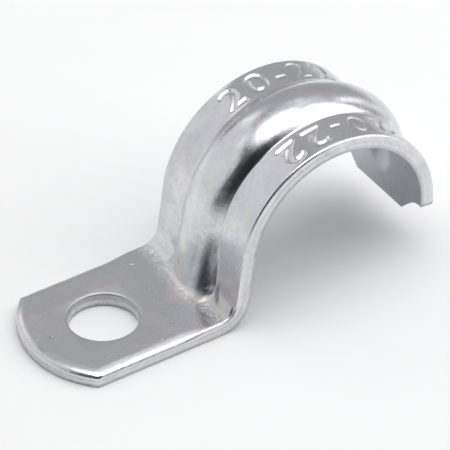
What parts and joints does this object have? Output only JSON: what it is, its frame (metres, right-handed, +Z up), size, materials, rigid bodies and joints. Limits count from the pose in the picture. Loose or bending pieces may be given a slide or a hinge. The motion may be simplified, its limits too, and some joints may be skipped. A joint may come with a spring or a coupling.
{
  "type": "conduit strap",
  "caption": "One-hole strap pressed from sheet steel, with a flat round-ended foot and a ribbed half-round saddle that holds a conduit against a wall.",
  "frame": {"origin": "middle of the screw hole on the underside of the foot", "axes": "+Z up out of the foot, along the screw; +X from the foot to the saddle; +Y along the conduit"},
  "size_m": [0.0477, 0.0164, 0.0213],
  "materials": {
    "zinc_plate": "bright zinc plate on pressed steel, slightly mottled"
  },
  "bodies": {
    "root": {"conduit_strap": "zinc_plate"}
  },
  "joints": []
}
